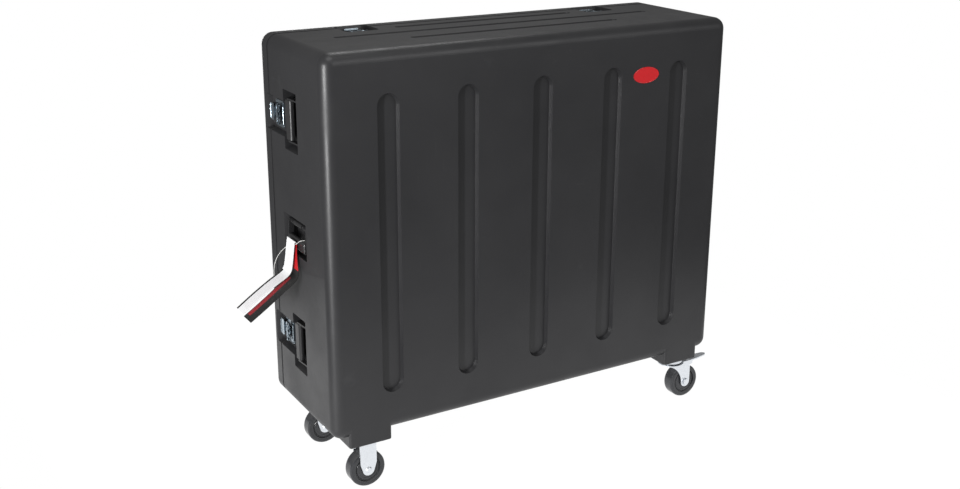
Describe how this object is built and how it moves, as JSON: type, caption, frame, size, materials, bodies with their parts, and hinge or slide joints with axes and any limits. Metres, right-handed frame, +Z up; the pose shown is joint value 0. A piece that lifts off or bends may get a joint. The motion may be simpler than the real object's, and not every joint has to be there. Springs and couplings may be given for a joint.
{
  "type": "wheeled mixer flight case",
  "caption": "Upright black moulded flight case with ribbed front, lift-off lid, recessed butterfly latches, spring handles and fixed and swivelling casters.",
  "frame": {"origin": "on the floor, under the middle of the case with its brake pedals", "axes": "+X along the case towards the swivelling casters, +Y from the ribbed face towards the lid, +Z up"},
  "size_m": [1.2703, 0.362, 1.039],
  "materials": {
    "shell_plastic": "matte grained polyethylene",
    "foam": "open-cell foam",
    "rim_aluminium": "black rim profile",
    "gasket_rubber": "soft",
    "badge_red": "domed, glossy",
    "tag_card": "printed card, plain",
    "string": "thin cord",
    "zinc_steel": "bright zinc plating",
    "handle_steel": "black powder coat",
    "grip_rubber": "moulded matte",
    "wheel_rubber": "satin",
    "pedal_plastic": "zinc plated",
    "caster_steel": "zinc plated"
  },
  "bodies": {
    "base": {"base_shell": "shell_plastic", "caster_feet": "shell_plastic", "handle_cups": "shell_plastic", "base_foam": "foam", "base_edge_profile": "rim_aluminium", "latch_plates": "zinc_steel", "handle_plates": "handle_steel", "handle_pins": "handle_steel", "handle_spring_barrels": "handle_steel", "rigid_forks": "caster_steel", "rigid_axles": "caster_steel", "swivel_plates": "caster_steel", "caster_bolts": "caster_steel", "badge": "badge_red"},
    "lid": {"lid_shell": "shell_plastic", "lid_foam": "foam", "lid_edge_profile": "rim_aluminium", "lid_gasket": "gasket_rubber", "latch_keepers": "zinc_steel"},
    "wing_left_high": {"latch_wing_left_high": "zinc_steel"},
    "hook_left_high": {"latch_hook_left_high": "zinc_steel"},
    "wing_left_low": {"latch_wing_left_low": "zinc_steel"},
    "hook_left_low": {"latch_hook_left_low": "zinc_steel"},
    "wing_right_high": {"latch_wing_right_high": "zinc_steel"},
    "hook_right_high": {"latch_hook_right_high": "zinc_steel"},
    "wing_right_low": {"latch_wing_right_low": "zinc_steel"},
    "hook_right_low": {"latch_hook_right_low": "zinc_steel"},
    "wing_top_left": {"latch_wing_top_left": "zinc_steel"},
    "hook_top_left": {"latch_hook_top_left": "zinc_steel"},
    "wing_top_right": {"latch_wing_top_right": "zinc_steel"},
    "hook_top_right": {"latch_hook_top_right": "zinc_steel"},
    "wing_bottom_left": {"latch_wing_bottom_left": "zinc_steel"},
    "hook_bottom_left": {"latch_hook_bottom_left": "zinc_steel"},
    "wing_bottom_right": {"latch_wing_bottom_right": "zinc_steel"},
    "hook_bottom_right": {"latch_hook_bottom_right": "zinc_steel"},
    "handle_left_high": {"handle_bail_left_high": "handle_steel", "handle_grip_left_high": "grip_rubber"},
    "handle_left_low": {"handle_bail_left_low": "handle_steel", "handle_grip_left_low": "grip_rubber"},
    "handle_left_middle": {"handle_bail_left_middle": "handle_steel", "handle_grip_left_middle": "grip_rubber", "hang_tag": "tag_card", "tag_string": "string"},
    "handle_right_high": {"handle_bail_right_high": "handle_steel", "handle_grip_right_high": "grip_rubber"},
    "handle_right_low": {"handle_bail_right_low": "handle_steel", "handle_grip_right_low": "grip_rubber"},
    "handle_right_middle": {"handle_bail_right_middle": "handle_steel", "handle_grip_right_middle": "grip_rubber"},
    "wheel_front_left": {"wheel_front_left": "wheel_rubber"},
    "swivel_front": {"swivel_yoke_front": "caster_steel", "swivel_axle_front": "caster_steel"},
    "wheel_front_right": {"wheel_front_right": "wheel_rubber"},
    "pedal_front": {"brake_pedal_front": "pedal_plastic"},
    "wheel_rear_left": {"wheel_rear_left": "wheel_rubber"},
    "swivel_rear": {"swivel_yoke_rear": "caster_steel", "swivel_axle_rear": "caster_steel"},
    "wheel_rear_right": {"wheel_rear_right": "wheel_rubber"},
    "pedal_rear": {"brake_pedal_rear": "pedal_plastic"}
  },
  "joints": [
    {"name": "lid_lift_off", "type": "slide", "parent": "base", "child": "lid", "axis": [0, 1, 0], "range_m": [0, 0.4]},
    {"name": "latch_turn_left_high", "type": "hinge", "parent": "base", "child": "wing_left_high", "pos_m": [-0.566, 0.095, 0.8605], "axis": [-1, 0, 0], "range_deg": [0, 180]},
    {"name": "latch_draw_left_high", "type": "slide", "parent": "base", "child": "hook_left_high", "axis": [0, 1, 0], "range_m": [0, 0.006]},
    {"name": "latch_turn_left_low", "type": "hinge", "parent": "base", "child": "wing_left_low", "pos_m": [-0.566, 0.095, 0.3225], "axis": [-1, 0, 0], "range_deg": [0, 180]},
    {"name": "latch_draw_left_low", "type": "slide", "parent": "base", "child": "hook_left_low", "axis": [0, 1, 0], "range_m": [0, 0.006]},
    {"name": "latch_turn_right_high", "type": "hinge", "parent": "base", "child": "wing_right_high", "pos_m": [0.538, 0.095, 0.8605], "axis": [1, 0, 0], "range_deg": [0, 180]},
    {"name": "latch_draw_right_high", "type": "slide", "parent": "base", "child": "hook_right_high", "axis": [0, 1, 0], "range_m": [0, 0.006]},
    {"name": "latch_turn_right_low", "type": "hinge", "parent": "base", "child": "wing_right_low", "pos_m": [0.538, 0.095, 0.3225], "axis": [1, 0, 0], "range_deg": [0, 180]},
    {"name": "latch_draw_right_low", "type": "slide", "parent": "base", "child": "hook_right_low", "axis": [0, 1, 0], "range_m": [0, 0.006]},
    {"name": "latch_turn_top_left", "type": "hinge", "parent": "base", "child": "wing_top_left", "pos_m": [-0.351, 0.095, 1.039], "axis": [0, 0, 1], "range_deg": [0, 180]},
    {"name": "latch_draw_top_left", "type": "slide", "parent": "base", "child": "hook_top_left", "axis": [0, 1, 0], "range_m": [0, 0.006]},
    {"name": "latch_turn_top_right", "type": "hinge", "parent": "base", "child": "wing_top_right", "pos_m": [0.323, 0.095, 1.039], "axis": [0, 0, 1], "range_deg": [0, 180]},
    {"name": "latch_draw_top_right", "type": "slide", "parent": "base", "child": "hook_top_right", "axis": [0, 1, 0], "range_m": [0, 0.006]},
    {"name": "latch_turn_bottom_left", "type": "hinge", "parent": "base", "child": "wing_bottom_left", "pos_m": [-0.351, 0.095, 0.144], "axis": [0, 0, -1], "range_deg": [0, 180]},
    {"name": "latch_draw_bottom_left", "type": "slide", "parent": "base", "child": "hook_bottom_left", "axis": [0, 1, 0], "range_m": [0, 0.006]},
    {"name": "latch_turn_bottom_right", "type": "hinge", "parent": "base", "child": "wing_bottom_right", "pos_m": [0.323, 0.095, 0.144], "axis": [0, 0, -1], "range_deg": [0, 180]},
    {"name": "latch_draw_bottom_right", "type": "slide", "parent": "base", "child": "hook_bottom_right", "axis": [0, 1, 0], "range_m": [0, 0.006]},
    {"name": "handle_swing_left_high", "type": "hinge", "parent": "base", "child": "handle_left_high", "pos_m": [-0.554, -0.0215, 0.8605], "axis": [0, 0, 1], "range_deg": [0, 90], "stiffness_Nm_per_rad": 0.8, "springref_deg": -11.46},
    {"name": "handle_swing_left_low", "type": "hinge", "parent": "base", "child": "handle_left_low", "pos_m": [-0.554, -0.0215, 0.3225], "axis": [0, 0, 1], "range_deg": [0, 90], "stiffness_Nm_per_rad": 0.8, "springref_deg": -11.46},
    {"name": "handle_swing_left_middle", "type": "hinge", "parent": "base", "child": "handle_left_middle", "pos_m": [-0.554, 0.0045, 0.6175], "axis": [0, 1, 0], "range_deg": [0, 90], "stiffness_Nm_per_rad": 0.8, "springref_deg": -11.46},
    {"name": "handle_swing_right_high", "type": "hinge", "parent": "base", "child": "handle_right_high", "pos_m": [0.526, -0.0215, 0.8605], "axis": [0, 0, -1], "range_deg": [0, 90], "stiffness_Nm_per_rad": 0.8, "springref_deg": -11.46},
    {"name": "handle_swing_right_low", "type": "hinge", "parent": "base", "child": "handle_right_low", "pos_m": [0.526, -0.0215, 0.3225], "axis": [0, 0, -1], "range_deg": [0, 90], "stiffness_Nm_per_rad": 0.8, "springref_deg": -11.46},
    {"name": "handle_swing_right_middle", "type": "hinge", "parent": "base", "child": "handle_right_middle", "pos_m": [0.526, 0.0045, 0.6175], "axis": [0, -1, 0], "range_deg": [0, 90], "stiffness_Nm_per_rad": 0.8, "springref_deg": -11.46},
    {"name": "wheel_spin_front_left", "type": "hinge", "parent": "base", "child": "wheel_front_left", "pos_m": [-0.474, -0.142, 0.045], "axis": [0, 1, 0], "continuous": true},
    {"name": "caster_swivel_front", "type": "hinge", "parent": "base", "child": "swivel_front", "pos_m": [0.446, -0.142, 0.103], "axis": [0, 0, 1], "continuous": true},
    {"name": "wheel_spin_front_right", "type": "hinge", "parent": "swivel_front", "child": "wheel_front_right", "pos_m": [0.484, -0.142, 0.045], "axis": [0, 1, 0], "continuous": true},
    {"name": "brake_pedal_press_front", "type": "hinge", "parent": "swivel_front", "child": "pedal_front", "pos_m": [0.484, -0.142, 0.0965], "axis": [0, 1, 0], "range_deg": [0, 7]},
    {"name": "wheel_spin_rear_left", "type": "hinge", "parent": "base", "child": "wheel_rear_left", "pos_m": [-0.474, 0.108, 0.045], "axis": [0, 1, 0], "continuous": true},
    {"name": "caster_swivel_rear", "type": "hinge", "parent": "base", "child": "swivel_rear", "pos_m": [0.446, 0.108, 0.103], "axis": [0, 0, 1], "continuous": true},
    {"name": "wheel_spin_rear_right", "type": "hinge", "parent": "swivel_rear", "child": "wheel_rear_right", "pos_m": [0.484, 0.108, 0.045], "axis": [0, 1, 0], "continuous": true},
    {"name": "brake_pedal_press_rear", "type": "hinge", "parent": "swivel_rear", "child": "pedal_rear", "pos_m": [0.484, 0.108, 0.0965], "axis": [0, 1, 0], "range_deg": [0, 7]}
  ],
  "couplings": [
    {"joint": "latch_draw_left_high", "follows": "latch_turn_left_high", "m_per_rad": 0.0019},
    {"joint": "latch_draw_left_low", "follows": "latch_turn_left_low", "m_per_rad": 0.0019},
    {"joint": "latch_draw_right_high", "follows": "latch_turn_right_high", "m_per_rad": 0.0019},
    {"joint": "latch_draw_right_low", "follows": "latch_turn_right_low", "m_per_rad": 0.0019},
    {"joint": "latch_draw_top_left", "follows": "latch_turn_top_left", "m_per_rad": 0.0019},
    {"joint": "latch_draw_top_right", "follows": "latch_turn_top_right", "m_per_rad": 0.0019},
    {"joint": "latch_draw_bottom_left", "follows": "latch_turn_bottom_left", "m_per_rad": 0.0019},
    {"joint": "latch_draw_bottom_right", "follows": "latch_turn_bottom_right", "m_per_rad": 0.0019}
  ]
}
